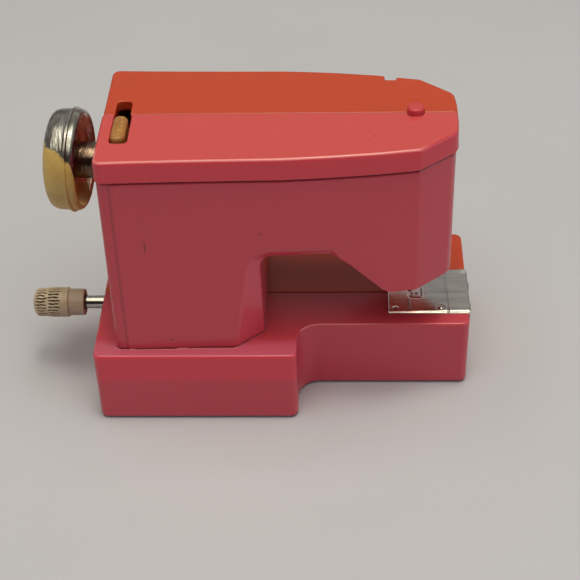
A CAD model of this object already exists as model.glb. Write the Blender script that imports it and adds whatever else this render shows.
"""Looks of a clockwork toy sewing machine: moulded shells, worn plating, a knurled winding
knob and stamped tin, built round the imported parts.

Drawing units are millimetres: x runs right from the left end of the base, y runs back from
the plane between the shells (the front shell is at negative y), z runs up from the ground.
The handwheel and the winding knob stick out to the left, the needle is in the head at the
right. In materials an edge is given by the value where it is zero and the one where it is one."""
import math
from itertools import product

import bmesh
import bpy
import numpy as np
from mathutils import Matrix, Vector


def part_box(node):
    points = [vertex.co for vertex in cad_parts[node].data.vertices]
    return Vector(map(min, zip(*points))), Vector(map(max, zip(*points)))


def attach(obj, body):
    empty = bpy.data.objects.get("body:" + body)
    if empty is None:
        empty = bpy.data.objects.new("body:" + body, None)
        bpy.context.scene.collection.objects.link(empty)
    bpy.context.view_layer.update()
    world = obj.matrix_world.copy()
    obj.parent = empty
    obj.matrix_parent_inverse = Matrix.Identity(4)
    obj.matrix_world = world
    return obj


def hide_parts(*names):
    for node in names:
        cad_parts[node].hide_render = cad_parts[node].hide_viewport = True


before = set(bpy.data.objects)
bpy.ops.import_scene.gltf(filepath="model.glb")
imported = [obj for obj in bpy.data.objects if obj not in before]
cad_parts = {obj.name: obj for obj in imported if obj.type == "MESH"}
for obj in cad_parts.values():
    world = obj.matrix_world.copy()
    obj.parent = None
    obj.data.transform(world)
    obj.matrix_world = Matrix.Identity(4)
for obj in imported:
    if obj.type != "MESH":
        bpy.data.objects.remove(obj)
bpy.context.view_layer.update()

MM = 0.001

# ------------------------------------------------------------------ driving dimensions
shell_low, shell_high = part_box("front_shell")
X0 = shell_low.x / MM                      # left end of the base in the frame
BASE_LENGTH = (shell_high.x - shell_low.x) / MM
TOP_Z = shell_high.z / MM
HALF_DEPTH = -shell_low.y / MM

BASE_H = 17.35
STEP_X, STEP_Y, STEP_R = 42.0, 10.0, 4.5   # where the base narrows, and its inner corner
CORNER_R = 1.6                             # upright corners of the base
WALL = 1.6
COLUMN_LEFT, COLUMN_RIGHT = 4.8, 35.2
ARM_UNDER_Z = 39.4
SLOPE_X = 50.4                             # the underside drops from here to the head
HEAD_LEFT, HEAD_RIGHT, HEAD_UNDER_Z = 60.6, 74.1, 29.3
LIP_Z, LIP_PROUD = 58.25, 0.35             # foot of the lip round the top, and its overhang
LEAN = 0.042                               # outward slope of the walls towards the base
CREASE_X = 7.2                             # crease beside the left corner strip
WIND_Z, ARM_Z = 14.9, 52.3                 # heights of the winding and handwheel axes
NEEDLE_X = 65.8
SCREWS = [(4.9, 5.0), (38.5, 6.5), (72.0, 6.5), (45.5, 46.3), (60.8, 38.0)]    # x, z
LEVER_SLOT_X, LEVER_SLOT_Y = (7.15, 10.15), (-10.0, 4.85)

# half width of the lip along the machine, by side (-1 front, 1 rear): x, distance from y = 0
LIP_WIDTH = {
    -1: [(-4.0, 17.0), (4.4, 17.0), (11.4, 16.7), (25.0, 16.35), (40.0, 16.1), (46.0, 15.7),
         (51.0, 15.25), (58.6, 14.45), (66.3, 13.25), (73.9, 6.9), (82.0, 0.4)],
    1: [(-4.0, 17.0), (4.8, 17.0), (11.4, 16.7), (25.0, 16.35), (40.0, 16.1), (46.0, 15.7),
        (51.0, 15.2), (58.6, 14.2), (67.3, 12.4), (73.8, 6.9), (82.0, 0.0)],
}


# ------------------------------------------------------------------ distance fields
# A field is negative inside the solid, zero on its surface and positive outside.
def round_max(a, b, radius):
    """Intersection of two solids whose shared edge is rounded."""
    u, v = np.maximum(a + radius, 0.0), np.maximum(b + radius, 0.0)
    return np.minimum(np.maximum(a, b), -radius) + np.sqrt(u * u + v * v)


def round_min(a, b, radius):
    return -round_max(-a, -b, radius)


def cut(solid, tool, radius=None):
    """Takes the tool out of the solid, with a rounded edge if a radius is given."""
    return np.maximum(solid, -tool) if radius is None else round_max(solid, -tool, radius)


def around(value, middle, half):
    return np.abs(value - middle) - half


def between(value, limits):
    return around(value, (limits[0] + limits[1]) / 2, (limits[1] - limits[0]) / 2)


def box(x, y, z, x_limits, y_limits, z_limits, radius=0.0):
    sides = round_max(between(x, x_limits), between(y, y_limits), radius)
    return round_max(sides, between(z, z_limits), radius)


def length(a, b):
    return np.sqrt(a * a + b * b)


def outline_distance(x, y, points):
    """Signed distance to a closed outline, negative inside."""
    x, y = np.broadcast_arrays(np.asarray(x, np.float32), np.asarray(y, np.float32))
    nearest = np.full(x.shape, 1e9, np.float32)
    inside = np.zeros(x.shape, bool)
    for (start_x, start_y), (end_x, end_y) in zip(points, points[1:] + points[:1]):
        edge_x, edge_y = end_x - start_x, end_y - start_y
        from_x, from_y = x - start_x, y - start_y
        t = np.clip((from_x * edge_x + from_y * edge_y) / (edge_x * edge_x + edge_y * edge_y), 0, 1)
        off_x, off_y = from_x - edge_x * t, from_y - edge_y * t
        nearest = np.minimum(nearest, off_x * off_x + off_y * off_y)
        if edge_y != 0:
            crossing = edge_x * (y - start_y) / edge_y + start_x
            inside ^= ((start_y > y) != (end_y > y)) & (x < crossing)
    distance = np.sqrt(nearest)
    return np.where(inside, -distance, distance)


def smooth_step(value, low, high):
    t = np.clip((value - low) / (high - low), 0.0, 1.0)
    return t * t * (3 - 2 * t)


def ratio(value, start, run):
    """0 at the start, 1 after the run; a negative run goes the other way."""
    return np.clip((value - start) / run, 0.0, 1.0)


def ridge(value, at, width):
    """Bell-shaped line of height 1."""
    return np.exp(-((value - at) / width) ** 2)


def eased(points, cuts, steps=5):
    """An open outline or profile with its inner corners rounded off; cuts is one cut length
    or one per corner."""
    out = [points[0]]
    for k, corner in enumerate(zip(points, points[1:], points[2:])):
        before, middle, after = (np.array(p, float) for p in corner)
        length_in, length_out = np.linalg.norm(before - middle), np.linalg.norm(after - middle)
        wanted = cuts[k] if isinstance(cuts, (list, tuple)) else cuts
        size = min(wanted, length_in * 0.45, length_out * 0.45)
        first = middle + (before - middle) / length_in * size
        last = middle + (after - middle) / length_out * size
        for i in range(steps + 1):
            t = i / steps
            out.append(tuple((1 - t) ** 2 * first + 2 * t * (1 - t) * middle + t * t * last))
    out.append(points[-1])
    return out


# ------------------------------------------------------------------ form of the shells
def base_outline(inset):
    """Plan of the base, drawn in by the inset; its concave corner is an arc."""
    radius = STEP_R + inset
    angles = [math.radians(180 - 90 * i / 14) for i in range(15)]
    corner = [(STEP_X + STEP_R + radius * math.cos(a), -STEP_Y - STEP_R + radius * math.sin(a))
              for a in angles]
    return ([(inset, -HALF_DEPTH + inset), (STEP_X - inset, -HALF_DEPTH + inset)] + corner
            + [(BASE_LENGTH - inset, -STEP_Y + inset), (BASE_LENGTH - inset, HALF_DEPTH - inset),
               (inset, HALF_DEPTH - inset)])


def width_table(side):
    """Stations, half width of the lip with its corners eased, and slant of its face."""
    stations = np.arange(-4.0, 82.0, 0.1)
    width = np.interp(stations, *zip(*LIP_WIDTH[side]))
    kernel = np.hanning(15)
    soft = np.convolve(np.pad(width, 7, mode="edge"), kernel / kernel.sum(), "valid")
    return stations, soft, np.sqrt(1 + np.gradient(soft, 0.1) ** 2)


BASE_PLAN = base_outline(CORNER_R)
# the opening between column and head: x, z, closed well outside the machine
OPENING = eased([(COLUMN_RIGHT, -20.0), (COLUMN_RIGHT, ARM_UNDER_Z - 0.35),
                 (SLOPE_X + 0.4, ARM_UNDER_Z), (HEAD_LEFT - 0.3, HEAD_UNDER_Z),
                 (110.0, HEAD_UNDER_Z), (110.0, -20.0)], [3.0, 3.4, 1.5, 0.1], 7)
WIDTH = {side: width_table(side) for side in (-1, 1)}


def base_form(x, y, z):
    # the narrow part's front face is drafted: proud at the top, drawn in at the foot
    draft = smooth_step(x, 40.5, 43.5) * (y < 0) * (-0.4 + 0.9 * z / BASE_H)
    plan = outline_distance(x, y + draft, BASE_PLAN) - CORNER_R
    base = round_max(plan, z - BASE_H, 0.55 - 0.08 * smooth_step(x, 41.0, 44.0))
    return round_max(base, -z, 0.7)


def arm_form(x, out, z, half, slant, rake):
    """Column, arm and head; out is the distance from the mid plane, half the width there,
    rake how far the head's right face falls back."""
    lean = (LIP_Z - z) * LEAN
    # the corner strip at the left end turns away, with a fine crease beside it
    facet = 0.24 * np.clip(7.35 - x, 0.0, 4.0) + 0.17 * ridge(x, CREASE_X, 0.3)
    gutter = 0.36 * ridge(z, LIP_Z - 0.26, 0.26)
    behind = outline_distance(x, z, OPENING)        # depth behind the opening's surface
    swell = 0.13 * ridge(behind, 1.75, 0.5) * ratio(x, 50.5, -3.0) * ratio(x, 33.0, 3.0)
    wall = (out - (half - LIP_PROUD + lean - facet - gutter + swell)) / slant
    right = x - (HEAD_RIGHT - LIP_PROUD) + rake
    left = COLUMN_LEFT - 0.05 + gutter - x
    arm = round_max(round_max(wall, right + gutter * 0.6, 1.0), left, 0.9)
    arm = np.maximum(arm, z - (TOP_Z - 0.6))
    arm = np.maximum(arm, 9.0 - z)
    arm = round_max(arm, -behind, 0.35 + 0.5 * ratio(x, 54.0, 6.0))

    # the flared edge of the opening: wide at the base, narrow under the arm, gone at the head
    climb = ratio(z, BASE_H, 37.0 - BASE_H)
    over = ratio(x, 36.0, 13.0) * (z > 36.0)
    fade = ratio(x, 49.2, 2.6)

    def flare(at_base, at_arm, under_arm):
        size = at_base + (at_arm - at_base) * climb
        size = size * (1 - over) + under_arm * over
        return size * (1 - fade) + 0.05 * fade

    deep, wide = flare(5.6, 2.7, 2.5), flare(4.8, 1.9, 1.35)
    bevel = (1.0 - behind / deep + wall / wide) / np.sqrt(1 / (deep * deep) + 1 / (wide * wide))
    return round_max(arm, bevel, 0.3)


def lip_form(x, out, z, half, slant, rake, side):
    tilt = 0.085 * (z - 60.6)                       # the lip's face leans in towards the top
    lip = round_max((out - half + tilt) / slant, x - HEAD_RIGHT + rake + tilt * 0.5, 0.9)
    lip = round_max(lip, (4.55 if side < 0 else 4.75) - x, 1.7)
    lip = round_max(lip, z - TOP_Z, 0.7)
    return round_max(lip, LIP_Z - z, 0.3)


def shell_forms(x, y, z, side):
    """Whole outside of one half, then its arm and its base alone."""
    stations, widths, slants = WIDTH[side]
    half = np.interp(x, stations, widths).astype(np.float32)
    slant = np.interp(x, stations, slants).astype(np.float32)
    out = side * y
    rake = 0.077 * np.maximum(out - 3.0, 0.0)
    base = base_form(x, y, z)
    arm = arm_form(x, out, z, half, slant, rake)
    lip = lip_form(x, out, z, half, slant, rake, side)
    return np.minimum(round_min(base, arm, 0.05), lip), arm, base


def shell_cavity(x, out, z, side, arm, base, screw_distances):
    """Hollow of one half, leaving screw bosses, ribs and the web in the arm."""
    cavity = np.minimum(base + WALL, round_max(arm + WALL, z - (TOP_Z - WALL), 0.3))
    for distance in screw_distances:
        cavity = cut(cavity, np.maximum(distance - 2.0, 0.3 - out))
        if side > 0:
            cavity = cut(cavity, np.maximum(distance - 3.0, 6.0 - out))
    for rib_x in (9.1, 11.3, 27.9, 30.1):
        cavity = cut(cavity, box(x, out, z, (rib_x, rib_x + 0.8), (11.7, 24.0), (23.0, 46.0)))
    return cut(cavity, box(x, out, z, (56.6, 58.2), (0.3, 24.0), (40.0, 64.0)))


def lever_slot(x, y, z):
    """Slot through the top, a little wider in front of y = 0."""
    middle = (LEVER_SLOT_X[0] + LEVER_SLOT_X[1]) / 2
    half = (LEVER_SLOT_X[1] - LEVER_SLOT_X[0]) / 2
    front = smooth_step(-y, -0.3, 0.9)
    across = np.abs(x - middle - 0.125 * front) - half - 0.225 * front
    return np.maximum(round_max(across, between(y, LEVER_SLOT_Y), 1.0), around(z, 62.0, 4.0))


def shell_field(x, y, z, side):
    """One half shell with its hollow and all its holes."""
    outer, arm, base = shell_forms(x, y, z, side)
    out = side * y
    screws = [length(x - screw_x, z - screw_z) for screw_x, screw_z in SCREWS]
    shell = cut(outer, shell_cavity(x, out, z, side, arm, base, screws))
    shell = np.maximum(shell, -side * y + 0.09)                 # gap between the halves
    for distance in screws:
        if side < 0:
            shell = cut(shell, np.maximum(distance - 1.05, out - 8.0))
        else:
            shell = cut(shell, np.maximum(distance - 1.2, out - 12.0))
            shell = cut(shell, np.maximum(distance - 2.15, 8.0 - out), 0.2)
    # bores of the arm shaft and the winding arbor
    shaft = length(y, z - ARM_Z)
    shell = cut(shell, np.maximum(shaft - 1.6, x - 9.0), 0.15)
    shell = cut(shell, np.maximum(shaft - 2.3, around(x, 57.0, 3.0)))
    shell = cut(shell, np.maximum(length(y, z - WIND_Z) - 1.8, x - 9.0), 0.15)
    # holes for the needle bar in top and head, and for the needle in the base
    bar = length(x - NEEDLE_X, y)
    shell = cut(shell, np.maximum(bar - 1.66, around(z, 62.0, 4.0)), 0.03)
    shell = cut(shell, np.maximum(bar - 1.78, around(z, 30.5, 3.5)), 0.1)
    shell = cut(shell, np.maximum(bar - 1.2, around(z, 16.0, 4.0)))
    shell = cut(shell, lever_slot(x, y, z), 0.22)
    # slots for the needle plate's prongs
    shell = cut(shell, box(x, out, z, (68.7, 71.3), (4.6, 5.55), (12.0, 20.0)))
    if side > 0:                                                # notch in the lip's rear edge
        notch = box(x, y, z, (60.1, 62.4), (11.9, 17.5), (59.5, 66.0), 0.3)
        shell = cut(shell, notch, 0.25)
    return shell


# ------------------------------------------------------------------ surface from a field
def gradient(field, points, step):
    x, y, z = points[:, 0], points[:, 1], points[:, 2]
    return np.stack([field(x + step, y, z) - field(x - step, y, z),
                     field(x, y + step, z) - field(x, y - step, z),
                     field(x, y, z + step) - field(x, y, z - step)], 1) / (2 * step)


def settle(field, points, cell):
    """Moves the points onto the field's surface in two limited steps."""
    for _ in range(2):
        slope = gradient(field, points, 0.03)
        value = field(points[:, 0], points[:, 1], points[:, 2])
        squared = np.maximum((slope * slope).sum(1), 0.2)
        move = -(value / squared)[:, None] * slope
        size = np.linalg.norm(move, axis=1, keepdims=True)
        points = points + move * np.minimum(1.0, 0.45 * cell / np.maximum(size, 1e-9))
    return points


def cell_points(values, cells):
    """Mean of the surface crossings on each cell's twelve edges, in cell units."""
    corner = {(i, j, k): values[cells[:, 0] + i, cells[:, 1] + j, cells[:, 2] + k]
              for i, j, k in product((0, 1), repeat=3)}
    total, count = np.zeros((len(cells), 3)), np.zeros(len(cells))
    for axis in range(3):
        others = [a for a in range(3) if a != axis]
        for near, far in product((0, 1), repeat=2):
            start = [0, 0, 0]
            start[others[0]], start[others[1]] = near, far
            end = list(start)
            end[axis] = 1
            at_start, at_end = corner[tuple(start)], corner[tuple(end)]
            crossed = (at_start < 0) != (at_end < 0)
            place = np.tile(np.array(start, float), (len(cells), 1))
            place[:, axis] = np.where(
                crossed, at_start / np.where(crossed, at_start - at_end, 1), 0)
            total += place * crossed[:, None]
            count += crossed
    return cells + total / count[:, None]


def net_quads(inside, number):
    """A four-sided face round every grid edge that crosses the surface."""
    quads = []
    for axis in range(3):
        second, third = (axis + 1) % 3, (axis + 2) % 3
        here, there = [slice(1, -1)] * 3, [slice(1, -1)] * 3
        here[axis], there[axis] = slice(0, -1), slice(1, None)
        first, last = inside[tuple(here)], inside[tuple(there)]
        for inside_first in (True, False):
            edges = np.argwhere((first & ~last) if inside_first else (~first & last))
            edges[:, second] += 1
            edges[:, third] += 1
            ring = []
            for i, j in ((-1, -1), (0, -1), (0, 0), (-1, 0)):
                cell = edges.copy()
                cell[:, second] += i
                cell[:, third] += j
                ring.append(number[tuple(cell.T)])
            quads.append(np.stack(ring if inside_first else ring[::-1], 1))
    return np.concatenate(quads)


def surface_net(field, low, high, cell):
    """Surface net of a field: points (mm) and four-sided faces."""
    axes = [np.arange(a - 2 * cell, b + 3 * cell, cell, dtype=np.float32)
            for a, b in zip(low, high)]
    values = np.empty([len(a) for a in axes], np.float32)
    y, z = axes[1][None, :, None], axes[2][None, None, :]
    for i in range(0, len(axes[0]), 24):            # in slabs, to save memory
        values[i:i + 24] = field(axes[0][i:i + 24][:, None, None], y, z)
    inside = values < 0
    corners = [inside[tuple(slice(d, n - 1 + d) for d, n in zip(offset, inside.shape))]
               for offset in product((0, 1), repeat=3)]
    any_inside = np.logical_or.reduce(corners)
    cells = np.argwhere(any_inside & ~np.logical_and.reduce(corners))
    number = np.full(any_inside.shape, -1, np.int64)
    number[tuple(cells.T)] = np.arange(len(cells))
    points = cell_points(values, cells)
    points = np.stack([axes[k][0] + points[:, k] * cell for k in range(3)], 1)
    return settle(field, points, cell), net_quads(inside, number)


# ------------------------------------------------------------------ meshes and objects
def to_frame(points):
    moved = np.array(points, float)
    moved[:, 0] += X0
    return moved * MM


def from_frame(points):
    moved = np.array(points, float) / MM
    moved[:, 0] -= X0
    return moved


def link(name, mesh):
    thing = bpy.data.objects.new(name, mesh)
    bpy.context.scene.collection.objects.link(thing)
    return thing


def dress(name, mesh, body, material, slot, replaces):
    """Links a finished piece and tells the frame what it rides on and stands for."""
    piece = link(name, mesh)
    mesh.materials.clear()
    mesh.materials.append(material)
    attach(piece, body)
    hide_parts(replaces)


def mesh_from(name, points, faces):
    mesh = bpy.data.meshes.new(name)
    mesh.vertices.add(len(points))
    mesh.vertices.foreach_set("co", to_frame(points).astype(np.float32).ravel())
    count, sides = faces.shape
    mesh.loops.add(count * sides)
    mesh.loops.foreach_set("vertex_index", faces.astype(np.int32).ravel())
    mesh.polygons.add(count)
    mesh.polygons.foreach_set("loop_start", np.arange(0, count * sides, sides, dtype=np.int32))
    mesh.update(calc_edges=True)
    mesh.validate()
    return mesh


def bake(thing):
    """Applies an object's modifiers."""
    graph = bpy.context.evaluated_depsgraph_get()
    mesh = bpy.data.meshes.new_from_object(thing.evaluated_get(graph))
    old, name = thing.data, thing.data.name
    thing.modifiers.clear()
    thing.data = mesh
    bpy.data.meshes.remove(old)
    mesh.name = name


def field_piece(name, field, low, high, cell, keep, normal_step=0.03, **role):
    """A piece whose surface is a field's zero level, thinned to the share kept, with its
    normals taken from the field."""
    mesh = mesh_from(name, *surface_net(field, low, high, cell))
    if keep < 1.0:
        thing = link(name, mesh)
        thing.modifiers.new("thin", "DECIMATE").ratio = keep
        bake(thing)
        mesh = thing.data
        bpy.data.objects.remove(thing)
    mesh.shade_smooth()
    places = np.empty(len(mesh.vertices) * 3, np.float32)
    mesh.vertices.foreach_get("co", places)
    slope = gradient(field, from_frame(places.reshape(-1, 3)), normal_step)
    normals = slope / np.maximum(np.linalg.norm(slope, axis=1, keepdims=True), 1e-6)
    mesh.normals_split_custom_set_from_vertices(normals.astype(np.float32).tolist())
    dress(name, mesh, **role)


def smooth_but_edges(mesh):
    mesh.shade_smooth()
    mesh.set_sharp_from_angle(angle=math.radians(38))


def mesh_from_bmesh(name, shape):
    mesh = bpy.data.meshes.new(name)
    shape.to_mesh(mesh)
    shape.free()
    return mesh


def axis_point(axis, centre, station, u, v):
    """Drawing point at a station along the axis and two offsets across it."""
    if axis == "X":
        return (station, centre[0] + u, centre[1] + v)
    if axis == "Y":
        return (centre[0] + u, station, centre[1] + v)
    return (centre[0] + u, centre[1] + v, station)


def lathe(name, profile, axis, centre, segments, shape=None):
    """Turns a profile of (station, radius); shape(station, radius, angle) can change a
    point's radius."""
    points, rings = [], []
    for station, radius in profile:
        if radius < 1e-6:
            rings.append([len(points)] * segments)
            points.append(axis_point(axis, centre, station, 0, 0))
            continue
        ring = []
        for i in range(segments):
            angle = 2 * math.pi * i / segments
            r = shape(station, radius, angle) if shape else radius
            ring.append(len(points))
            points.append(axis_point(axis, centre, station,
                                     r * math.cos(angle), r * math.sin(angle)))
        rings.append(ring)
    turned = bmesh.new()
    vertices = [turned.verts.new(p) for p in to_frame(points)]
    for a, b in zip(rings, rings[1:]):
        for i in range(segments):
            j = (i + 1) % segments
            face = list(dict.fromkeys((a[i], a[j], b[j], b[i])))    # a pole gives a triangle
            if len(face) > 2:
                turned.faces.new([vertices[k] for k in face])
    bmesh.ops.recalc_face_normals(turned, faces=turned.faces)
    mesh = mesh_from_bmesh(name, turned)
    smooth_but_edges(mesh)
    return mesh


def join(name, meshes, how="UNION"):
    """One mesh from several closed ones; the first keeps its name."""
    thing = link(name, meshes[0])
    for mesh in meshes[1:]:
        tool = link(name + "_tool", mesh)
        boolean = thing.modifiers.new("join", "BOOLEAN")
        boolean.operation = how
        boolean.object = tool
        boolean.solver = "EXACT"
        bake(thing)
        bpy.data.objects.remove(tool)
        bpy.data.meshes.remove(mesh)
    result = thing.data
    bpy.data.objects.remove(thing)
    smooth_but_edges(result)
    return result


def driver_slot(name, x, z, y_limits, half_x, half_z):
    """Block that cuts a driver slot into a screw head."""
    front, back = y_limits
    block = bmesh.new()
    bmesh.ops.create_cube(block, size=1.0)
    for v in block.verts:
        v.co = Vector(((x + (2 * v.co.x) * half_x + X0) * MM,
                       (front + (v.co.y + 0.5) * (back - front)) * MM,
                       (z + (2 * v.co.z) * half_z) * MM))
    return mesh_from_bmesh(name, block)


# ------------------------------------------------------------------ node helpers
class Nodes:
    """Short calls for building a procedural material."""

    INPUTS = {"colour": "Base Color", "rough": "Roughness", "metal": "Metallic",
              "normal": "Normal", "scatter": "Subsurface Weight",
              "scatter_scale": "Subsurface Scale", "scatter_radius": "Subsurface Radius",
              "specular": "Specular IOR Level"}

    def __init__(self, name):
        self.material = bpy.data.materials.new(name)
        self.material.use_nodes = True
        self.tree = self.material.node_tree
        self.place = self.new("ShaderNodeTexCoord").outputs["Object"]

    def new(self, kind, **settings):
        node = self.tree.nodes.new(kind)
        for key, value in settings.items():
            setattr(node, key, value)
        return node

    def put(self, value, socket):
        if isinstance(value, bpy.types.NodeSocket):
            self.tree.links.new(value, socket)
        elif socket.type == "RGBA":
            socket.default_value = (*value, 1.0)
        else:
            socket.default_value = value

    def geometry(self, output):
        return self.new("ShaderNodeNewGeometry").outputs[output]

    def math(self, operation, *values):
        node = self.new("ShaderNodeMath", operation=operation)
        for value, socket in zip(values, node.inputs):
            self.put(value, socket)
        return node.outputs[0]

    def times(self, a, b):
        return self.math("MULTIPLY", a, b)

    def plus(self, a, b):
        return self.math("ADD", a, b)

    def minus(self, a, b):
        return self.math("SUBTRACT", a, b)

    def larger(self, a, b):
        return self.math("MAXIMUM", a, b)

    def size(self, value):
        return self.math("ABSOLUTE", value)

    def vector(self, operation, *values):
        node = self.new("ShaderNodeVectorMath", operation=operation)
        for value, socket in zip(values, node.inputs):
            self.put(value, socket)
        return node.outputs["Value" if operation == "LENGTH" else "Vector"]

    def split(self, vector):
        node = self.new("ShaderNodeSeparateXYZ")
        self.put(vector, node.inputs[0])
        return node.outputs

    def drawing(self, coordinate, start=None):
        """A coordinate in drawing units, counted from the start."""
        value = self.math("DIVIDE", coordinate, MM)
        return value if start is None else self.minus(value, start)

    def axis_distance(self, y, z):
        return self.math("SQRT", self.plus(self.times(z, z), self.times(y, y)))

    def noise(self, scale, detail=3.0, rough=0.55, stretch=None, distortion=0.0, seed=0.0):
        """Noise in the piece's own space; scale is in features per metre."""
        place = self.place
        if stretch is not None:
            place = self.vector("MULTIPLY", place, stretch)
        if seed:
            place = self.vector("ADD", place, (seed, seed * 0.7, -seed))
        node = self.new("ShaderNodeTexNoise")
        for key, value in (("Vector", place), ("Scale", scale), ("Detail", detail),
                           ("Roughness", rough), ("Distortion", distortion)):
            self.put(value, node.inputs[key])
        return node.outputs[0]

    def cells(self, scale, seed):
        """Distance to the nearest of scattered points."""
        node = self.new("ShaderNodeTexVoronoi", feature="F1")
        self.put(self.vector("ADD", self.place, (seed, -seed, seed * 0.3)),
                 node.inputs["Vector"])
        self.put(scale, node.inputs["Scale"])
        return node.outputs["Distance"]

    def edge(self, value, zero, one):
        """Smooth change from 0 to 1 between two values."""
        node = self.new("ShaderNodeMapRange", interpolation_type="SMOOTHSTEP")
        for key, item in (("Value", value), ("From Min", zero), ("From Max", one)):
            self.put(item, node.inputs[key])
        return node.outputs[0]

    def window(self, value, first, second):
        """1 between two soft edges, each given as (zero, one)."""
        return self.times(self.edge(value, *first), self.edge(value, *second))

    def line(self, value, at, half):
        """1 within a thin band each side of a value."""
        return self.edge(self.size(self.minus(value, at)), half, half * 0.3)

    def mix(self, under, over, mask, amount=None, how="MIX"):
        """Lays one colour over another where the mask is 1, at the given amount."""
        if amount is not None:
            mask = self.times(mask, amount)
        node = self.new("ShaderNodeMix", data_type="RGBA", blend_type=how)
        for value, index in ((mask, 0), (under, 6), (over, 7)):     # 6, 7: colour sockets
            self.put(value, node.inputs[index])
        return node.outputs[2]

    def multiplied(self, colour, factors):
        return self.mix(colour, factors, 1.0, how="MULTIPLY")

    def tint(self, colour, factors, mask):
        """Multiplies the colour by rgb factors where the mask is 1."""
        return self.mix(colour, self.multiplied(colour, factors), mask)

    def bump(self, height, strength, distance, under=None):
        node = self.new("ShaderNodeBump")
        for key, value in (("Strength", strength), ("Distance", distance), ("Height", height)):
            self.put(value, node.inputs[key])
        if under is not None:
            self.put(under, node.inputs["Normal"])
        return node.outputs[0]

    def finish(self, **values):
        shader = self.tree.nodes["Principled BSDF"]
        for key, value in values.items():
            self.put(value, shader.inputs[self.INPUTS[key]])
        return self.material


def darker(rgb, factor):
    return tuple(c * factor for c in rgb)


# ------------------------------------------------------------------ moulded plastic
def moulded_grime(n, x, y, z, normal, seam_amount):
    """Mask of grime under the lip, in the corner crease, round the column's foot and in the
    seam between the halves."""
    outer = n.edge(n.size(y), zero=10.0, one=11.0)
    outer = n.larger(outer, n.edge(x, zero=5.6, one=5.0))
    outer = n.larger(outer, n.edge(x, zero=68.0, one=70.0))
    under_lip = n.times(n.line(z, at=LIP_Z - 0.24, half=0.42), outer)
    face = n.edge(n.size(y), zero=14.4, one=15.4)
    wall = n.window(z, (LIP_Z - 0.2, LIP_Z - 0.5), (BASE_H + 0.1, BASE_H + 0.4))
    crease = n.times(n.times(n.line(x, at=CREASE_X, half=0.42), face), wall)
    foot = n.times(n.line(z, at=BASE_H + 0.1, half=0.55),
                   n.edge(n.split(normal)[2], zero=0.7, one=0.3))
    foot = n.times(foot, n.times(n.edge(n.size(y), zero=19.2, one=18.6),
                                 n.edge(x, zero=41.0, one=40.0)))
    foot = n.times(foot, n.edge(x, zero=2.0, one=3.0))
    seam = n.line(y, at=0.0, half=0.24)
    # the amounts are how heavy the grime lies in each place
    low = n.larger(n.times(crease, 0.25), n.times(foot, 0.7))
    return n.larger(n.times(under_lip, 0.75), n.larger(low, n.times(seam, seam_amount)))


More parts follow.
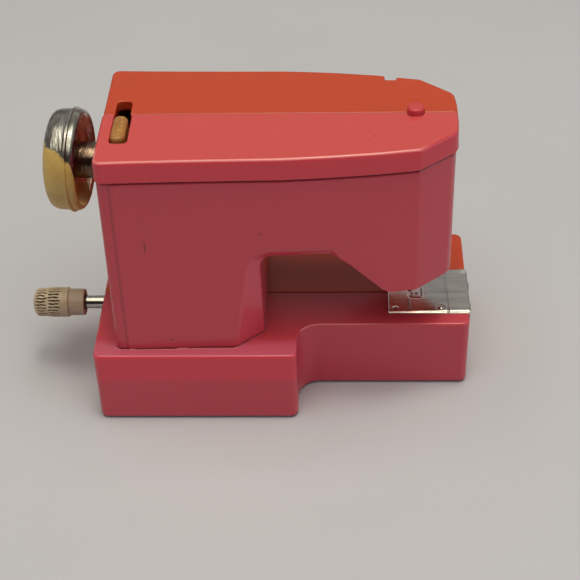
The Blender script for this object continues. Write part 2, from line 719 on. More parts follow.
def moulded(name, rgb, deep, scatter_radius=(1.0, 0.24, 0.24), seed=0.0, marks=(),
            sun=(1.0, 1.0, 1.0), lid_tint=(1.0, 1.0, 1.0), seam_amount=0.6):
    """Glossy, slightly translucent toy plastic: faint tone drift, tops faded by the sun, dust
    specks, small dings (centre, half sizes, tone, amount) and grime in the creases."""
    n = Nodes(name)
    normal = n.geometry("Normal")
    x, y, z = n.split(n.place)
    x, y, z = n.drawing(x, X0), n.drawing(y), n.drawing(z)
    drift = n.edge(n.noise(scale=28, detail=2, seed=seed), zero=0.3, one=0.75)
    colour = n.mix(rgb, deep, drift, amount=0.12)
    up = n.edge(n.split(normal)[2], zero=0.55, one=0.95)
    colour = n.tint(colour, sun, n.times(up, n.edge(z, zero=50.0, one=60.0)))
    # the thicker upper part of the base's front wall glows a little deeper
    thick = n.times(n.edge(z, zero=9.7, one=11.3),
                    n.times(n.edge(z, zero=18.0, one=17.3), n.edge(y, zero=-19.5, one=-20.1)))
    colour = n.tint(colour, (1.2, 0.84, 0.92), n.times(thick, n.minus(1.0, up)))
    # the ledge of the base in front of the column is paler
    ledge = n.times(up, n.times(n.edge(z, zero=30.0, one=20.0),
                                n.edge(y, zero=-14.5, one=-17.5)))
    colour = n.tint(colour, (1.0, 1.85, 2.0), ledge)
    # the edge over the cut-away is polished pale by handling, most towards the left
    normal_z = n.split(normal)[2]
    rim = n.window(normal_z, (0.4, 0.6), (0.97, 0.85))
    rim = n.times(rim, n.window(z, (16.7, 16.85), (17.6, 17.5)))
    rim = n.times(rim, n.window(y, (-9.0, -9.4), (-12.5, -12.0)))
    rim = n.times(rim, n.plus(0.12, n.times(n.edge(x, zero=62.0, one=56.0), 0.33)))
    colour = n.mix(colour, (0.86, 0.36, 0.40), rim)
    # the lip's band is thick all round, so it is deeper, and its top edge is rubbed pale
    lid = n.times(n.edge(z, zero=LIP_Z, one=LIP_Z + 0.4), n.edge(normal_z, zero=0.55, one=0.25))
    colour = n.tint(colour, lid_tint, lid)
    lip = n.window(normal_z, (0.45, 0.7), (0.995, 0.93))
    lip = n.times(lip, n.times(n.edge(z, zero=61.6, one=62.0),
                               n.edge(y, zero=-11.0, one=-13.0)))
    colour = n.mix(colour, (0.90, 0.40, 0.42), lip, amount=0.3)
    # the bevel down the column takes less shade than the front
    bevel = n.times(n.edge(n.split(normal)[0], zero=0.25, one=0.45),
                    n.edge(n.split(normal)[0], zero=0.97, one=0.85))
    bevel = n.times(bevel, n.window(x, (28.5, 29.5), (37.0, 36.5)))
    bevel = n.times(bevel, n.window(z, (17.6, 18.2), (42.0, 38.0)))
    colour = n.tint(colour, (1.12, 1.3, 1.25), bevel)
    speck = n.edge(n.cells(scale=420, seed=seed + 1), zero=0.05, one=0.025)
    patch = n.edge(n.noise(scale=60, detail=2, seed=seed + 8), zero=0.57, one=0.66)
    colour = n.mix(colour, darker(rgb, 0.4), n.times(speck, patch), amount=0.35)
    grime = moulded_grime(n, x, y, z, normal, seam_amount)
    colour = n.mix(colour, darker(rgb, 0.18), grime)
    for (mark_x, mark_y, mark_z), half_sizes, tone, amount in marks:
        centre = ((mark_x + X0) * MM, mark_y * MM, mark_z * MM)
        offset = n.vector("DIVIDE", n.vector("SUBTRACT", n.place, centre),
                          tuple(s * MM for s in half_sizes))
        spot = n.edge(n.vector("LENGTH", offset), zero=1.0, one=0.6)
        colour = n.mix(colour, tone, spot, amount=amount)
    rough = n.plus(0.25, n.times(grime, 0.3))               # grime is duller than the gloss
    return n.finish(colour=colour, rough=rough, scatter=0.42, scatter_scale=0.0018,
                    specular=0.5, scatter_radius=scatter_radius)


PINK = {"rgb": (0.572, 0.055, 0.083), "deep": (0.542, 0.050, 0.076)}
ORANGE = {"rgb": (0.535, 0.059, 0.017), "deep": (0.49, 0.050, 0.014)}
PINK_MARKS = [    # centre, half sizes, tone, amount
    ((12.9, -17.3, 43.0), (0.26, 2.0, 1.6), (0.22, 0.03, 0.04), 0.8),
    ((35.6, -17.0, 45.6), (0.34, 2.0, 0.28), (0.13, 0.03, 0.04), 0.8),
    ((57.6, -8.3, 62.9), (0.3, 0.3, 1.0), (0.2, 0.03, 0.04), 0.7),
    ((16.6, -18.0, 19.8), (0.4, 2.0, 0.3), (0.2, 0.03, 0.04), 0.7),
]
pink = moulded("pink_plastic_moulded", **PINK, sun=(1.06, 1.43, 0.96),
               lid_tint=(1.10, 0.82, 0.82), marks=PINK_MARKS)
pink_bar = moulded("pink_plastic_bar", **PINK, sun=(0.97, 1.15, 0.75), seed=5.0,
                   seam_amount=0.0)
orange = moulded("orange_plastic_moulded", **ORANGE, seed=11.0, scatter_radius=(1.0, 0.3, 0.1))

# ------------------------------------------------------------------ shells
for side, word, material, slot in ((-1, "front", pink, "pink_plastic"),
                                   (1, "rear", orange, "orange_plastic")):
    y_low, y_high = (-HALF_DEPTH, 0.0) if side < 0 else (0.0, HALF_DEPTH)
    field_piece(f"{word}_shell_fine", lambda x, y, z, s=side: shell_field(x, y, z, s),
                (0.0, y_low, 0.0), (BASE_LENGTH, y_high, TOP_Z),
                cell=0.32, keep=0.45, normal_step=0.05,
                body="casing", material=material, slot=slot, replaces=f"{word}_shell")

# ------------------------------------------------------------------ winding knob grip
# stations are x; both the shape and the grime in its knurling use these
GRIP_R = 3.08
SWELL, SWELL_START, SWELL_RUN = 0.14, -12.6, 1.6    # fuller towards the sleeve
TIP_START, TIP_RUN, TIP_POWER = -14.1, 1.47, 2.3    # rounding at the free end


# ------------------------------------------------------------------ finishes of small parts
def plated(name):
    """Thin bright plating rubbed through to amber plastic on the lower half."""
    n = Nodes(name)
    x, y, z = n.split(n.place)
    x, y, z = n.drawing(x, X0), n.drawing(y), n.drawing(z, ARM_Z)
    radius = n.axis_distance(y, z)
    # wander of the worn border, in mm either way
    wander = n.noise(scale=330, detail=5, rough=0.65, distortion=0.8)
    wander = n.times(n.minus(wander, 0.5), 4.6)
    # the border runs round the drum, higher at the front, and shifts along x
    lift = n.plus(n.times(y, 0.64), n.times(z, 0.77))
    level = n.plus(lift, n.plus(n.times(x, 0.75), 2.4))
    level = n.plus(level, n.times(n.edge(x, zero=-1.4, one=-0.2), 3.6))
    plate = n.edge(n.plus(level, wander), zero=-0.3, one=0.3)
    inner = n.times(n.edge(radius, zero=9.2, one=8.9), n.edge(x, zero=-3.2, one=-2.6))
    plate = n.larger(plate, n.times(inner, n.edge(n.plus(lift, wander), zero=-4.6, one=-3.4)))
    # pinholes in patches, and larger rubs
    pinholes = n.edge(n.cells(scale=1300, seed=2), zero=0.10, one=0.17)
    rub = n.noise(scale=230, detail=5, rough=0.7, distortion=1.2, seed=7)
    rub = n.edge(rub, zero=0.72, one=0.68)
    sound = n.edge(n.noise(scale=300, detail=2, rough=0.5, seed=3), zero=0.60, one=0.52)
    plate = n.times(n.times(plate, rub), n.larger(pinholes, sound))

    tarnish = n.noise(scale=500, detail=5, rough=0.7, stretch=(1.0, 0.35, 0.35),
                      distortion=0.6, seed=5)
    silver = n.mix((0.46, 0.44, 0.385), (0.21, 0.185, 0.15),
                   n.edge(tarnish, zero=0.36, one=0.66))
    # cooler at the front, brighter at the back
    back = n.edge(y, zero=-4.0, one=3.0)
    silver = n.mix(n.multiplied(silver, (0.88, 0.90, 1.02)),
                   n.multiplied(silver, (1.32, 1.30, 1.28)), back)
    dim = n.mix((0.95, 0.82, 0.70), (0.52, 0.39, 0.30), n.edge(tarnish, zero=0.4, one=0.62))
    silver = n.mix(silver, dim, inner)
    core = n.mix((0.34, 0.235, 0.18), (0.14, 0.085, 0.06), n.edge(tarnish, zero=0.4, one=0.62))
    silver = n.mix(silver, core, n.edge(radius, zero=5.0, one=4.3))

    cloud = n.noise(scale=160, detail=3, rough=0.5, seed=6)
    amber = n.mix((0.60, 0.40, 0.135), (0.47, 0.29, 0.075), n.edge(cloud, zero=0.35, one=0.7))
    grime = n.edge(n.noise(scale=500, detail=5, rough=0.7, seed=12), zero=0.58, one=0.76)
    amber = n.mix(amber, (0.22, 0.12, 0.035), grime, amount=0.45)
    # dark flecks where the plating lifts along the border
    border = n.edge(n.size(n.plus(level, wander)), zero=0.75, one=0.2)
    flecks = n.edge(n.noise(scale=800, detail=4, rough=0.7, seed=14), zero=0.45, one=0.58)
    amber = n.mix(amber, (0.10, 0.06, 0.03), n.times(border, flecks), amount=0.6)

    # plating is smoother than plastic, tarnish rougher
    rough = n.plus(n.times(plate, -0.17), n.plus(0.37, n.times(tarnish, 0.12)))
    normal = n.bump(plate, strength=0.35, distance=0.00005)
    normal = n.bump(n.noise(scale=1400, detail=4, rough=0.65, seed=8),
                    strength=0.22, distance=0.00008, under=normal)
    waves = n.noise(scale=420, detail=3, rough=0.6, stretch=(1.5, 0.3, 0.3),
                    distortion=0.3, seed=13)
    normal = n.bump(waves, strength=0.6, distance=0.0003, under=normal)
    scatter = n.times(n.minus(1.0, plate), 0.25)            # only the bare plastic scatters
    return n.finish(colour=n.mix(amber, silver, plate), metal=plate, rough=rough,
                    normal=normal, scatter=scatter, scatter_scale=0.002,
                    scatter_radius=(1.0, 0.6, 0.2))


def amber_plastic(name):
    """Cloudy amber plastic, pale on its edges, with dirt in specks."""
    n = Nodes(name)
    rgb = (0.38, 0.165, 0.037)
    cloud = n.noise(scale=240, detail=3, rough=0.5)
    colour = n.mix(rgb, darker(rgb, 0.72), n.edge(cloud, zero=0.35, one=0.68))
    edges = n.edge(n.geometry("Pointiness"), zero=0.52, one=0.60)
    colour = n.mix(colour, (0.60, 0.38, 0.13), edges, amount=0.4)
    dirt = n.edge(n.noise(scale=900, detail=4, rough=0.7, seed=4), zero=0.58, one=0.72)
    colour = n.mix(colour, (0.18, 0.09, 0.03), dirt, amount=0.5)
    normal = n.bump(n.noise(scale=1500, detail=3, rough=0.6, seed=2),
                    strength=0.15, distance=0.00006)
    rough = n.plus(0.34, n.times(cloud, 0.12))              # follows the clouds
    return n.finish(colour=colour, rough=rough, normal=normal, scatter=0.25,
                    scatter_scale=0.0015, scatter_radius=(1.0, 0.55, 0.2))


def nylon_knurled(name):
    """Aged ivory nylon with grime lying in the knurling and round the collar."""
    n = Nodes(name)
    x, y, z = n.split(n.place)
    z, y, x = n.drawing(z, WIND_Z), n.drawing(y), n.drawing(x, X0)
    radius = n.axis_distance(y, z)
    colour = n.mix((0.58, 0.45, 0.32), (0.48, 0.36, 0.24),
                   n.edge(n.noise(scale=260, detail=3, rough=0.5), zero=0.35, one=0.7))
    # depth of a point below the grip's full surface
    zone = n.window(x, (-9.3, -9.5), (-15.0, -14.6))
    swell = n.edge(x, zero=SWELL_START, one=SWELL_START + SWELL_RUN)
    full = n.plus(GRIP_R, n.times(swell, SWELL))
    tip = n.larger(n.math("DIVIDE", n.minus(TIP_START, x), TIP_RUN), 0.0)
    drop = n.times(n.math("POWER", tip, TIP_POWER), 1.7)    # 1.7 mm lower at the very end
    sunk = n.minus(n.minus(full, drop), radius)
    depth = n.times(n.edge(sunk, zero=0.07, one=0.26), zone)
    colour = n.mix(colour, (0.05, 0.027, 0.012), depth, amount=0.93)
    grime = n.edge(n.noise(scale=700, detail=5, rough=0.7, seed=3), zero=0.52, one=0.72)
    colour = n.mix(colour, (0.22, 0.13, 0.07), grime, amount=0.38)
    mouth = n.edge(radius, zero=1.84, one=1.74)
    colour = n.mix(colour, (0.06, 0.035, 0.02), mouth, amount=0.8)
    sleeve = n.edge(x, zero=-8.2, one=-7.4)
    colour = n.mix(colour, (0.36, 0.26, 0.215), sleeve, amount=0.45)
    normal = n.bump(n.noise(scale=1600, detail=3, rough=0.6, seed=5),
                    strength=0.2, distance=0.00006)
    rough = n.plus(0.42, n.times(grime, 0.2))               # grime is duller
    return n.finish(colour=colour, rough=rough, normal=normal, scatter=0.2,
                    scatter_scale=0.0012, scatter_radius=(1.0, 0.7, 0.4))


def tin(name):
    """Stamped tinplate: rolling streaks, fine rubs and a few dull spots."""
    n = Nodes(name)
    streak = n.noise(scale=900, detail=4, rough=0.6, stretch=(0.12, 1.0, 1.0), distortion=0.2)
    cross = n.noise(scale=700, detail=4, rough=0.65, stretch=(1.0, 0.35, 1.0),
                    distortion=0.8, seed=4)
    blotch = n.edge(n.noise(scale=210, detail=4, rough=0.6, seed=7), zero=0.42, one=0.68)
    colour = n.mix((0.63, 0.60, 0.575), (0.45, 0.43, 0.41), n.edge(streak, zero=0.3, one=0.7))
    colour = n.mix(colour, (0.62, 0.60, 0.56), blotch, amount=0.35)
    spot = n.edge(n.cells(scale=900, seed=3), zero=0.10, one=0.05)
    colour = n.mix(colour, (0.13, 0.10, 0.08), spot, amount=0.5)
    x = n.drawing(n.split(n.place)[0], X0)
    colour = n.tint(colour, (1.45, 1.22, 1.22), n.edge(x, zero=70.5, one=66.5))
    # rubs roughen it, and the strip right of the stamped line is duller
    strip = n.edge(x, zero=73.3, one=73.7)
    rough = n.plus(n.plus(0.10, n.times(cross, 0.14)), n.times(strip, 0.16))
    normal = n.bump(streak, strength=0.18, distance=0.00004)
    normal = n.bump(cross, strength=0.12, distance=0.00004, under=normal)
    normal = n.bump(n.noise(scale=120, detail=2, rough=0.5, seed=9),
                    strength=0.15, distance=0.0005, under=normal)
    return n.finish(colour=colour, metal=1.0, rough=rough, normal=normal)


def metal(name, rgb=(0.60, 0.59, 0.57), axis=0, rough=0.2, dark=(0.2, 0.19, 0.18)):
    """Drawn or turned metal with fine lines across the axis (0, 1, 2 for x, y, z) and faint
    tarnish in the dark tone."""
    n = Nodes(name)
    stretch = [1.0, 1.0, 1.0]
    stretch[axis] = 14.0
    lines = n.noise(scale=260, detail=4, rough=0.6, stretch=tuple(stretch))
    tarnish = n.edge(n.noise(scale=500, detail=4, rough=0.65, seed=5), zero=0.52, one=0.78)
    colour = n.mix(rgb, darker(rgb, 0.8), n.edge(lines, zero=0.3, one=0.7))
    colour = n.mix(colour, dark, tarnish, amount=0.5)
    normal = n.bump(lines, strength=0.12, distance=0.00003)
    return n.finish(colour=colour, metal=1.0, rough=n.plus(rough, n.times(lines, 0.12)),
                    normal=normal)


def gear_nylon(name):
    """White nylon with patches of oil."""
    n = Nodes(name)
    cloud = n.noise(scale=300, detail=3, rough=0.5)
    oil = n.edge(n.noise(scale=420, detail=4, rough=0.65, seed=3), zero=0.5, one=0.72)
    colour = n.mix((0.72, 0.70, 0.65), (0.64, 0.61, 0.55), n.edge(cloud, zero=0.35, one=0.7))
    colour = n.mix(colour, (0.35, 0.30, 0.20), oil, amount=0.3)
    normal = n.bump(n.noise(scale=1400, detail=3, rough=0.6, seed=2),
                    strength=0.15, distance=0.00005)
    rough = n.plus(0.36, n.times(oil, -0.12))               # oil is shinier
    return n.finish(colour=colour, rough=rough, normal=normal, scatter=0.12,
                    scatter_scale=0.001)


plating = plated("plating_worn")
amber = amber_plastic("amber_plastic_lever")
ivory = nylon_knurled("ivory_nylon_aged")
tinplate = tin("tinplate_stamped")
steel_x = metal("steel_drawn_x", rgb=(0.44, 0.41, 0.38), axis=0, rough=0.12)
steel_z = metal("steel_drawn_z", axis=2)
screw_steel = metal("screw_steel", rgb=(0.52, 0.50, 0.46), axis=1, rough=0.28,
                    dark=(0.24, 0.15, 0.08))
spring_steel = metal("spring_steel_blued", rgb=(0.16, 0.19, 0.25), axis=0, rough=0.22,
                     dark=(0.10, 0.07, 0.05))
brass = metal("brass_stamped", rgb=(0.66, 0.47, 0.17), axis=1, rough=0.24,
              dark=(0.30, 0.18, 0.06))
white_nylon = gear_nylon("white_nylon_gear")

# ------------------------------------------------------------------ handwheel
WHEEL_LEAN = 4.3    # degrees
WHEEL_PIVOT_X = -1.0
WHEEL_PROFILE = [   # station, radius, cut of the rounded corner
    (4.2, 1.3, 0), (4.2, 3.65, 0.3), (-2.3, 3.65, 0.3), (-2.3, 6.6, 0.6), (-1.7, 8.2, 0.6),
    (-0.2, 8.9, 0.6), (0.1, 9.3, 0.4), (-0.1, 9.8, 0.4), (-0.7, 10.15, 0.3),
    (-1.38, 10.2, 0.2), (-1.5, 10.5, 0.14), (-2.05, 10.5, 0.14), (-2.17, 10.2, 0.2),
    (-4.6, 10.08, 0.7), (-5.7, 9.75, 0.6), (-6.3, 8.8, 0.6), (-6.5, 7.4, 0.9),
    (-6.6, 3.2, 0.9), (-6.6, 0.0, 0),
]


def handwheel():
    """Hollow wheel with a small nub on its outer face. It sits loose on its shaft, a few
    degrees out of true."""
    bore = [(-4.8, 0.0), (-4.8, 1.3)]
    outside = eased([row[:2] for row in WHEEL_PROFILE], [row[2] for row in WHEEL_PROFILE[1:-1]])
    wheel = lathe("handwheel_rim", bore + outside, "X", (0.0, ARM_Z), 144)
    nub_profile = eased([(-6.2, 0.0), (-6.2, 0.9), (-7.6, 0.84), (-7.6, 0.0)], 0.2, 4)
    nub = lathe("nub", nub_profile, "X", (-3.3, ARM_Z - 1.2), 32)
    mesh = join("handwheel_worn", [wheel, nub])
    pivot = Matrix.Translation(Vector((X0 + WHEEL_PIVOT_X, 0.0, ARM_Z)) * MM)
    turn = Matrix.Rotation(math.radians(-WHEEL_LEAN), 4, "Z")
    mesh.transform(pivot @ turn @ pivot.inverted())
    dress("handwheel_worn", mesh, "handwheel_assembly", plating, "plated_plastic", "handwheel")


handwheel()

# ------------------------------------------------------------------ winding knob
GROOVES = 27
KNURL_ROWS = ((-14.7, -12.35, 0.0), (-12.1, -9.5, 0.35))    # start, end, shift in pitches


def knurl(station, radius, angle):
    """Two rows of short cuts, a little wavy and uneven in length, part of a pitch apart."""
    deepest = 0.0
    turn = angle / (2 * math.pi) * GROOVES
    groove = math.floor(turn)
    for start, end, shift in KNURL_ROWS:
        start = start + 0.12 * math.sin(groove * 7.3 + shift * 9.0)
        end = end + 0.22 * math.sin(groove * 3.7 + shift * 5.0)
        if start < station < end:
            t = (station - start) / (end - start)
            phase = (turn + shift + 0.10 * math.sin(station * 4.1 + groove * 1.7)) % 1.0
            half = 0.27 * min(1.0, t / 0.12, (1.0 - t) / 0.12)
            pit = max(0.0, 1.0 - abs(phase - 0.5) / max(half, 1e-3))
            deepest = max(deepest, 0.42 * min(1.0, pit * 1.5) * min(1.0, half / 0.14))
    return radius - deepest


def grip_radius(station):
    full = GRIP_R + SWELL * min(1.0, max(0.0, (station - SWELL_START) / SWELL_RUN))
    t = max(0.0, (TIP_START - station) / TIP_RUN)
    return full * math.sqrt(max(0.0, 1.0 - t ** TIP_POWER))


def winding_knob():
    """Knob with a deep bore, a collar and sleeve at its right end, and a knurled grip."""
    bore = [(-13.1, 0.0), (-13.1, 1.47), (-5.2, 1.47)]
    # the end points only steer the rounding and are left out
    sleeve = eased([(-5.2, 1.6), (-5.1, 1.72), (-4.35, 1.78), (-4.3, 2.75), (-4.5, 2.88),
                    (-7.62, 2.9), (-7.78, 3.2), (-7.86, 3.22)], 0.14, 3)[1:-1]
    stations = [-15.55 + 0.08 * i for i in range(97)]
    grip = [(s, grip_radius(s)) for s in reversed(stations)]
    mesh = lathe("winding_knob_knurled", bore + sleeve + grip + [(-15.6, 0.0)], "X",
                 (0.0, WIND_Z), GROOVES * (14), knurl)
    dress("winding_knob_knurled", mesh, "winding_assembly", ivory, "ivory_nylon", "winding_knob")


def winding_arbor():
    profile = eased([(-13.0, 0.0), (-13.0, 1.42), (30.4, 1.42), (30.4, 0.0)], 0.2, 3)
    mesh = lathe("winding_arbor_turned", profile, "X", (0.0, WIND_Z), 48)
    dress("winding_arbor_turned", mesh, "winding_assembly", steel_x, "bright_steel",
          "winding_arbor")


winding_knob()
winding_arbor()

# ------------------------------------------------------------------ lever
LEVER_Y = -6.1


def lever_field(x, y, z):
    """Rounded button on a thin flange, with a finger below."""
    sides = np.abs(y - LEVER_Y - 0.5) - 4.15 + 0.14 * np.abs(x - 8.3)
    button = round_max(round_max(around(x, 8.65, 1.41), sides, 1.2), around(z, 61.9, 1.85), 0.7)
    flange = box(x, y, z, (6.7, 10.6), (LEVER_Y - 4.6, LEVER_Y + 5.0), (59.5, 60.35), 0.12)
    finger = box(x, y, z, (7.55, 8.45), (LEVER_Y - 0.8, LEVER_Y + 0.8), (57.0, 60.6), 0.15)
    return round_min(round_min(button, flange, 0.1), finger, 0.2)


field_piece("start_stop_lever_fine", lever_field, (6.5, -10.9, 56.8), (10.8, -0.9, 63.9),
            cell=0.11, keep=0.5, body="lever", material=amber,
            slot="amber_plastic", replaces="start_stop_lever")

# ------------------------------------------------------------------ needle plate
PLATE_OUTLINE = [(61.1, -7.15), (78.1, -7.2), (78.28, -7.05), (78.28, 6.3), (77.9, 6.85),
                 (77.3, 7.0), (61.1, 7.0)]                                      # x, y
PLATE_Z, PLATE_HALF = 17.66, 0.155      # middle of the sheet and half its thickness
PLATE_DIMPLES_X, PLATE_DIMPLES_Y = (62.6, 72.05), -5.7
PLATE_SLITS = [((68.1, 68.28), (-1.95, 0.6)), ((66.06, 66.22), (-1.85, -0.75))]    # x, y


def plate_height(x, y):
    """Middle of the sheet with its stamped relief."""
    height = PLATE_Z - 0.13 * ridge(x, 73.52 - 0.022 * y, 0.16)                 # stamped line
    for dimple_x in PLATE_DIMPLES_X:
        distance = length(x - dimple_x, y - PLATE_DIMPLES_Y)
        height = height + 0.17 * ridge(distance, 0.0, 0.42) - 0.03 * ridge(distance, 0.75, 0.2)
    # raised tongue round the needle hole
    tongue = round_max(around(x, 67.1, 1.55), np.maximum(-2.45 - y, y - 6.0), 1.0)
    height = height + 0.07 * smooth_step(-tongue, -0.14, 0.14) - 0.04 * ridge(tongue, 0.18, 0.14)
    height = height - 0.42 * smooth_step(-y, 6.55, 7.25)                        # front edge
    height = height - 0.30 * smooth_step(x, 77.95, 78.5)                        # right edge
    # curled corner
    return height + 0.16 * smooth_step(y, 5.4, 6.9) * smooth_step(x, 75.6, 77.8)


def plate_field(x, y, z):
    """Thin sheet with a rolled front edge, a flange on the right, two prongs, pierced slits
    and two holes."""
    sheet = np.abs(z - plate_height(x, y)) - PLATE_HALF
    plate = round_max(sheet, outline_distance(x, y, PLATE_OUTLINE), 0.12)
    flange = box(x, y, z, (78.03, 78.3), (-7.0, 6.5), (15.6, 17.62), 0.12)
    tabs = np.minimum(*(box(x, y, z, (78.1, 78.52), y_limits, (16.7, 17.55), 0.2)
                        for y_limits in ((-5.6, -4.0), (1.2, 2.8))))
    plate = round_min(plate, np.minimum(flange, tabs), 0.15)
    for side in (-1, 1):
        prong = box(x, side * y, z, (69.0, 71.0), (4.9, 5.25), (14.0, 17.55), 0.1)
        plate = np.minimum(plate, prong)
    for x_limits, y_limits in PLATE_SLITS:
        plate = cut(plate, np.maximum(between(x, x_limits), between(y, y_limits)), 0.05)
    plate = cut(plate, length(x - NEEDLE_X, y) - 0.45, 0.05)
    return cut(plate, length(x - 67.05, y + 1.25) - 0.26, 0.05)


field_piece("needle_plate_stamped", plate_field, (61.0, -7.4, 13.9), (78.8, 7.1, 18.2),
            cell=0.12, keep=0.5, body="casing", material=tinplate,
            slot="stamped_tin", replaces="needle_plate")

# ------------------------------------------------------------------ needle bar and needle
BAR_R = 1.63
CLAMP_Z = 28.0


def bar_field(x, y, z):
    """Bar with a bore for the needle, a yoke on its left side and a hole in its front."""
    distance = length(x - NEEDLE_X, y)
    bar = round_max(distance - BAR_R, around(z, 45.1, 19.1), 0.42)
    bar = cut(bar, np.maximum(distance - 0.52, around(z, 28.3, 2.3)))
    yoke = box(x, y, z, (63.75, 64.75), (-4.0, 4.0), (52.5, 56.1), 0.2)
    yoke = cut(yoke, box(x, y, z, (63.0, 64.85), (-2.9, 2.9), (53.45, 55.15), 0.2), 0.1)
    hole = np.maximum(length(x - NEEDLE_X, z - CLAMP_Z) - 0.62, y)
    return cut(np.minimum(bar, yoke), hole, 0.08)


def needle():
    profile = [(30.4, 0.0), (30.4, 0.45), (24.7, 0.45), (24.2, 0.36), (23.8, 0.33),
               (21.4, 0.33), (20.6, 0.2), (19.8, 0.0)]
    mesh = lathe("needle_ground", profile, "Z", (NEEDLE_X, 0.0), 32)
    dress("needle_ground", mesh, "needle_assembly", steel_z, "bright_steel", "needle")


def clamp_grip(station, radius, angle):
    """Shallow flutes round the clamp screw's head."""
    fluted = station < -1.9 and radius > 1.0
    return radius - (0.05 * (math.cos(angle * 20) > 0) if fluted else 0)


def clamp_screw():
    profile = eased([(-0.52, 0.0), (-0.52, 0.55), (-1.75, 0.55), (-1.75, 1.05),
                     (-2.9, 1.05), (-2.9, 0.0)], 0.12, 3)
    body = lathe("clamp", profile, "Y", (NEEDLE_X, CLAMP_Z), 40, clamp_grip)
    slot = driver_slot("clamp_slot", NEEDLE_X, CLAMP_Z, (-3.2, -2.5), 1.3, 0.14)
    mesh = join("needle_clamp_screw_fine", [body, slot], "DIFFERENCE")
    dress("needle_clamp_screw_fine", mesh, "needle_assembly", screw_steel, "bright_steel",
          "needle_clamp_screw")


field_piece("needle_bar_fine", bar_field, (63.6, -4.1, 25.9), (67.6, 4.1, 64.3),
            cell=0.18, keep=0.5, body="needle_assembly", material=pink_bar,
            slot="pink_plastic", replaces="needle_bar")
needle()
clamp_screw()

# ------------------------------------------------------------------ shell screws
SHANK_R = 0.92
THREAD_PITCH, THREAD_DEPTH, THREAD_END = 0.9, 0.16, 6.4


def thread(station, radius, angle):
    if station >= THREAD_END or radius <= 0.85:
        return radius
    turn = (station / THREAD_PITCH + angle / (2 * math.pi)) % 1.0
    return radius - THREAD_DEPTH * abs(turn * 2 - 1)


def shell_screw(number, x, z):
    """Screw with its cross-slotted head at the back."""
    head = eased([(9.5, 0.0), (9.5, 1.1), (9.15, 1.7), (8.12, 1.9), (8.08, SHANK_R)], 0.25, 4)
    shank = [(7.9 - 0.15 * i, SHANK_R) for i in range(1, 90)]
    tip = [(-6.0, 0.5), (-6.4, 0.0)]
    body = lathe(f"screw_{number}", head + shank + tip, "Y", (x, z), 36, thread)
    slots = [driver_slot(f"cross_{number}", x, z, (8.8, 10.5), *halves)
             for halves in ((1.1, 0.2), (0.2, 1.1))]
    name = f"shell_screw_{number}_fine"
    dress(name, join(name, [body] + slots, "DIFFERENCE"), "casing", screw_steel,
          "bright_steel", f"shell_screw_{number}")


for number, (x, z) in enumerate(SCREWS, 1):
    shell_screw(number, x, z)

# ------------------------------------------------------------------ works inside
WORKS = [
    (brass, ["motor_plate_left", "motor_plate_right", "head_bush", "arm_pinion", "great_wheel",
             "spring_collet", "intermediate_pinion", "intermediate_wheel"]),
    (white_nylon, ["governor_drive_gear", "stop_wheel", "crank_disc", "idler_gear",
                   "governor_pinion", "governor_fan"]),
    (spring_steel, ["mainspring"]),
    (steel_x, ["pillar_1", "pillar_2", "pillar_3", "arm_shaft", "crank_pin", "click_pin",
               "click_pawl", "ratchet_wheel", "intermediate_arbor", "idler_arbor",
               "governor_arbor"]),
]
for material, names in WORKS:
    for name in names:
        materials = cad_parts[name].data.materials
        materials.clear()
        materials.append(material)

# ------------------------------------------------------------------ floor (metres from here)
FLOOR_SIZE, FLOOR_CELLS, FLOOR_Z = 3.0, 60, -0.0004
SWEEP_START, SWEEP_RISE = 1.1, 0.8      # the paper curves up behind this y


def floor_mesh():
    sheet = bmesh.new()
    count = FLOOR_CELLS
    grid = [[sheet.verts.new((-FLOOR_SIZE / 2 + FLOOR_SIZE * i / count,
                              -FLOOR_SIZE * 0.35 + FLOOR_SIZE * j / count, FLOOR_Z))
             for j in range(count + 1)] for i in range(count + 1)]
    for i, j in product(range(count), repeat=2):
        sheet.faces.new((grid[i][j], grid[i + 1][j], grid[i + 1][j + 1], grid[i][j + 1]))
    for v in sheet.verts:
        past = max(0.0, v.co.y - SWEEP_START)
        v.co.z += past * past * SWEEP_RISE
    mesh = mesh_from_bmesh("floor", sheet)
    mesh.shade_smooth()
    return mesh


def paper(name):
    n = Nodes(name)
    cloud = n.noise(scale=14, detail=3, rough=0.5)
    fibre = n.noise(scale=900, detail=3, rough=0.6)
    colour = n.mix((0.547, 0.536, 0.618), (0.532, 0.521, 0.603),
                   n.edge(cloud, zero=0.3, one=0.7))
    return n.finish(colour=colour, rough=0.75, specular=0.25,
                    normal=n.bump(fibre, strength=0.05, distance=0.0001))


floor = link("floor", floor_mesh())
floor.data.materials.append(paper("pale_paper"))

# ------------------------------------------------------------------ lights
LIGHT_AIM = (0.0, 0.0, 0.03)
WARM = (1.0, 0.975, 0.76)


def area_light(name, place, size, watts, colour):
    light = bpy.data.lights.new(name, "AREA")
    light.shape = "RECTANGLE"
    light.size = light.size_y = size
    light.energy = watts
    light.color = colour
    lamp = link(name, light)
    lamp.location = place
    lamp.rotation_mode = "QUATERNION"
    towards = Vector(LIGHT_AIM) - Vector(place)
    lamp.rotation_quaternion = towards.to_track_quat("-Z", "Y")


area_light("softbox_top", place=(0.0, -0.14, 1.1), size=1.1, watts=10.1, colour=WARM)
area_light("lamp_top", place=(0.07, -0.02, 1.0), size=0.22, watts=2.3, colour=WARM)
area_light("fill_left", place=(-1.15, -0.45, 0.25), size=0.6, watts=1.1,
           colour=(0.80, 0.88, 1.0))
area_light("fill_right", place=(1.1, -0.55, 0.25), size=0.6, watts=2.8,
           colour=(0.82, 0.88, 1.0))


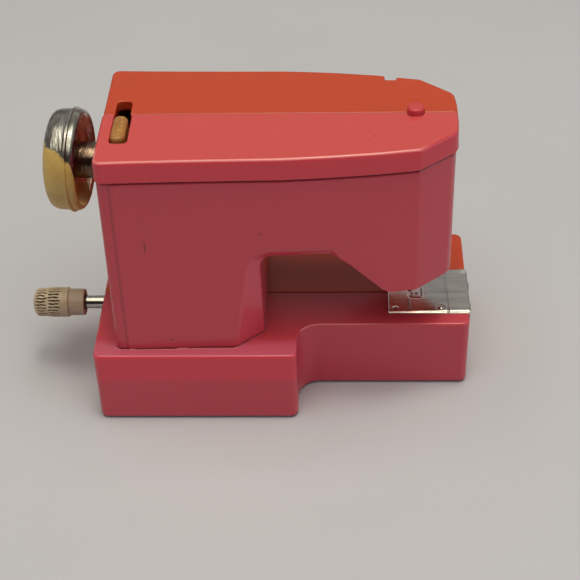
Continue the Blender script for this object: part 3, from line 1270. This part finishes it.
def studio_world():
    """Dim bluish fill for matt surfaces; shiny ones see a pale backdrop behind the machine
    and a darker room on the camera's side."""
    world = bpy.data.worlds.new("studio")
    bpy.context.scene.world = world
    world.use_nodes = True
    nodes, links = world.node_tree.nodes, world.node_tree.links
    fill = nodes["Background"]
    room = nodes.new("ShaderNodeBackground")
    fill.inputs["Color"].default_value = (0.80, 0.87, 1.0, 1.0)
    room.inputs["Color"].default_value = (1.0, 0.98, 0.94, 1.0)
    direction = nodes.new("ShaderNodeTexCoord")
    axes = nodes.new("ShaderNodeSeparateXYZ")
    links.new(direction.outputs["Generated"], axes.inputs[0])

    def strength(background, easing, from_y, to_y, front, back):
        """Strength that goes from front to back between two values of y."""
        node = nodes.new("ShaderNodeMapRange")
        node.interpolation_type = easing
        links.new(axes.outputs[1], node.inputs["Value"])
        for key, value in (("From Min", from_y), ("From Max", to_y),
                           ("To Min", front), ("To Max", back)):
            node.inputs[key].default_value = value
        links.new(node.outputs[0], background.inputs["Strength"])

    strength(fill, "LINEAR", from_y=-0.8, to_y=0.8, front=0.115, back=0.04)
    strength(room, "SMOOTHSTEP", from_y=-0.55, to_y=0.35, front=0.03, back=0.36)
    path = nodes.new("ShaderNodeLightPath")
    choice = nodes.new("ShaderNodeMixShader")
    links.new(path.outputs["Is Glossy Ray"], choice.inputs[0])
    links.new(fill.outputs[0], choice.inputs[1])
    links.new(room.outputs[0], choice.inputs[2])
    links.new(choice.outputs[0], nodes["World Output"].inputs[0])


studio_world()

# ------------------------------------------------------------------ camera
CAMERA_PLACE = (52.17, -237.28, 215.81)     # drawing units
PITCH, YAW, ROLL = math.radians(39.78), math.radians(2.90), math.radians(-2.09)


def camera():
    """Looks back and down at the machine from the front."""
    forward = Vector((-math.sin(YAW) * math.cos(PITCH), math.cos(YAW) * math.cos(PITCH),
                      -math.sin(PITCH)))
    right = Vector((math.cos(YAW), math.sin(YAW), 0.0))
    up = right.cross(forward)
    rolled_right = math.cos(ROLL) * right + math.sin(ROLL) * up
    rolled_up = -math.sin(ROLL) * right + math.cos(ROLL) * up
    data = bpy.data.cameras.new("camera")
    data.sensor_width = 36.0
    data.lens = 89.44137931
    data.clip_start = 0.01
    viewer = link("camera", data)
    pose = Matrix((rolled_right, rolled_up, -forward)).transposed().to_4x4()
    x, y, z = CAMERA_PLACE
    pose.translation = Vector((x + X0, y, z)) * MM
    viewer.matrix_world = pose
    bpy.context.scene.camera = viewer


camera()
bpy.context.scene.view_settings.view_transform = "Standard"
